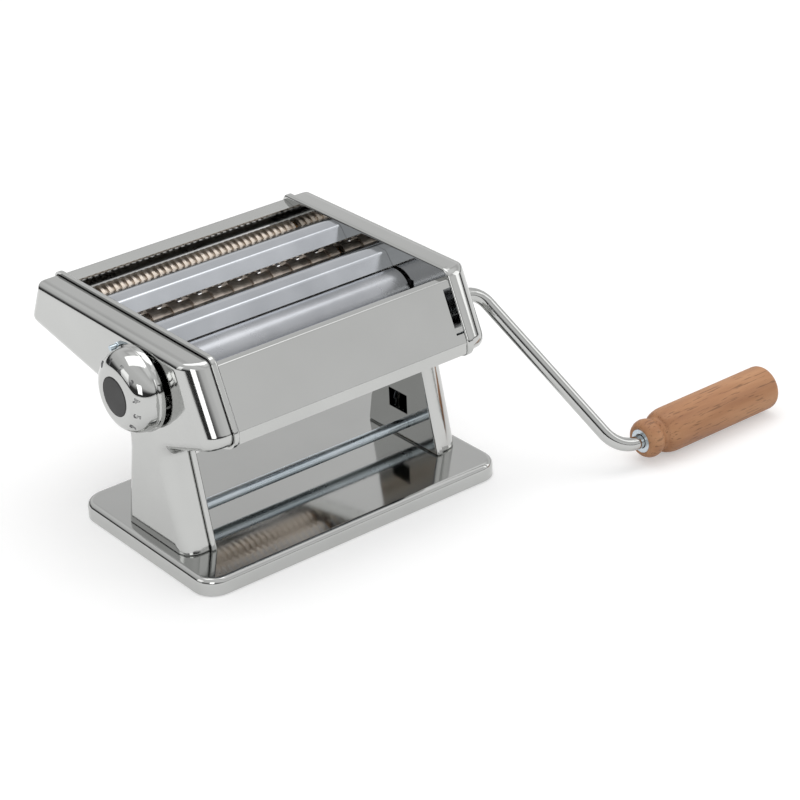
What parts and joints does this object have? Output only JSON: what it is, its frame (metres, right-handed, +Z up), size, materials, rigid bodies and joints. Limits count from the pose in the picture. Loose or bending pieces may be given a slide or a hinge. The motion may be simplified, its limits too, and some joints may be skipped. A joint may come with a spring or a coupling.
{
  "type": "pasta roller machine",
  "caption": "Hand-cranked pasta roller machine in chromed sheet steel with smooth rollers, two cutter pairs, a gap knob and a wooden crank grip.",
  "frame": {"origin": "on the table, under the middle of the base", "axes": "+X along the rollers towards the crank, +Y from the front to the back, +Z up"},
  "size_m": [0.3834, 0.2294, 0.1315],
  "materials": {
    "chrome_sheet": "mirror chrome plated steel sheet",
    "chrome_bar": "chrome plated bar",
    "guide_sheet": "polished sheet",
    "ground_steel": "fine ground",
    "nickel_steel": "turned and nickel plated",
    "dark_steel": "oiled",
    "zinc_steel": "bluish zinc plated",
    "bronze": "sintered",
    "spring_steel": "cold rolled",
    "rubber": "matte",
    "beech": "oiled beech",
    "grey_plastic": "matte"
  },
  "bodies": {
    "frame": {"base_plate": "chrome_sheet", "rubber_feet": "rubber", "left_side_plate": "chrome_sheet", "right_side_plate": "chrome_sheet", "left_cover": "chrome_sheet", "right_cover": "chrome_sheet", "front_panel": "chrome_sheet", "rear_panel": "chrome_sheet", "front_guide": "guide_sheet", "rear_guide": "guide_sheet", "tie_rod": "zinc_steel", "head_rod": "zinc_steel", "rod_nuts": "zinc_steel", "base_screws": "zinc_steel", "smooth_bushes": "bronze", "wide_bushes": "bronze", "fine_bushes": "bronze", "front_scraper": "spring_steel", "wide_comb_front": "spring_steel", "wide_comb_rear": "spring_steel", "fine_comb_front": "spring_steel", "fine_comb_rear": "spring_steel", "yoke_springs": "spring_steel", "adjuster_bush": "bronze", "index_pin": "zinc_steel"},
    "front_roller": {"front_smooth_roller": "ground_steel", "front_smooth_gear": "dark_steel"},
    "rear_carriage": {"yoke_left": "dark_steel", "yoke_right": "dark_steel", "yoke_bar": "dark_steel", "rear_scraper": "spring_steel"},
    "rear_roller": {"rear_smooth_roller": "ground_steel", "rear_smooth_gear": "dark_steel"},
    "adjuster": {"adjuster_shaft": "spring_steel", "snail_cam": "dark_steel", "knob_spring": "spring_steel"},
    "knob": {"knob": "chrome_sheet", "knob_cap": "grey_plastic"},
    "wide_driven": {"wide_cutter_front": "nickel_steel", "wide_gear_front": "dark_steel"},
    "wide_follower": {"wide_cutter_rear": "nickel_steel", "wide_gear_rear": "dark_steel"},
    "fine_driven": {"fine_cutter_front": "nickel_steel", "fine_gear_front": "dark_steel"},
    "fine_follower": {"fine_cutter_rear": "nickel_steel", "fine_gear_rear": "dark_steel"},
    "crank": {"crank_bar": "chrome_bar", "crank_pin": "zinc_steel"},
    "grip": {"grip": "beech", "grip_ferrule": "zinc_steel", "grip_washer": "zinc_steel"}
  },
  "joints": [
    {"name": "front_roller_turn", "type": "hinge", "parent": "frame", "child": "front_roller", "pos_m": [0, -0.0372, 0.1047], "axis": [1, 0, 0], "continuous": true},
    {"name": "crank_pull_out", "type": "slide", "parent": "front_roller", "child": "crank", "axis": [1, 0, 0], "range_m": [0, 0.018]},
    {"name": "grip_turn", "type": "hinge", "parent": "crank", "child": "grip", "pos_m": [0.222, -0.1066, 0.01426], "axis": [1, 0, 0], "continuous": true},
    {"name": "gap_adjust", "type": "slide", "parent": "frame", "child": "rear_carriage", "axis": [0, -1, 0], "range_m": [0, 0.002], "deforming": ["yoke_springs"]},
    {"name": "rear_roller_turn", "type": "hinge", "parent": "rear_carriage", "child": "rear_roller", "pos_m": [0, -0.007, 0.1047], "axis": [1, 0, 0], "continuous": true},
    {"name": "adjuster_turn", "type": "hinge", "parent": "frame", "child": "adjuster", "pos_m": [-0.095, -0.007, 0.1047], "axis": [-1, 0, 0], "range_deg": [0, 180]},
    {"name": "knob_pull", "type": "slide", "parent": "adjuster", "child": "knob", "axis": [-1, 0, 0], "range_m": [0, 0.004], "stiffness_N_per_m": 1500, "springref_m": -0.003, "deforming": ["knob_spring"]},
    {"name": "wide_front_turn", "type": "hinge", "parent": "frame", "child": "wide_driven", "pos_m": [0, 0.0347, 0.1067], "axis": [1, 0, 0], "continuous": true},
    {"name": "wide_rear_turn", "type": "hinge", "parent": "frame", "child": "wide_follower", "pos_m": [0, 0.0497, 0.1067], "axis": [1, 0, 0], "continuous": true},
    {"name": "fine_front_turn", "type": "hinge", "parent": "frame", "child": "fine_driven", "pos_m": [0, 0.0765, 0.1095], "axis": [1, 0, 0], "continuous": true},
    {"name": "fine_rear_turn", "type": "hinge", "parent": "frame", "child": "fine_follower", "pos_m": [0, 0.0915, 0.1095], "axis": [1, 0, 0], "continuous": true}
  ],
  "couplings": [
    {"joint": "rear_roller_turn", "follows": "front_roller_turn", "ratio": -1},
    {"joint": "adjuster_turn", "follows": "gap_adjust", "rad_per_m": 1570.8},
    {"joint": "wide_rear_turn", "follows": "wide_front_turn", "ratio": -1},
    {"joint": "fine_rear_turn", "follows": "fine_front_turn", "ratio": -1}
  ]
}
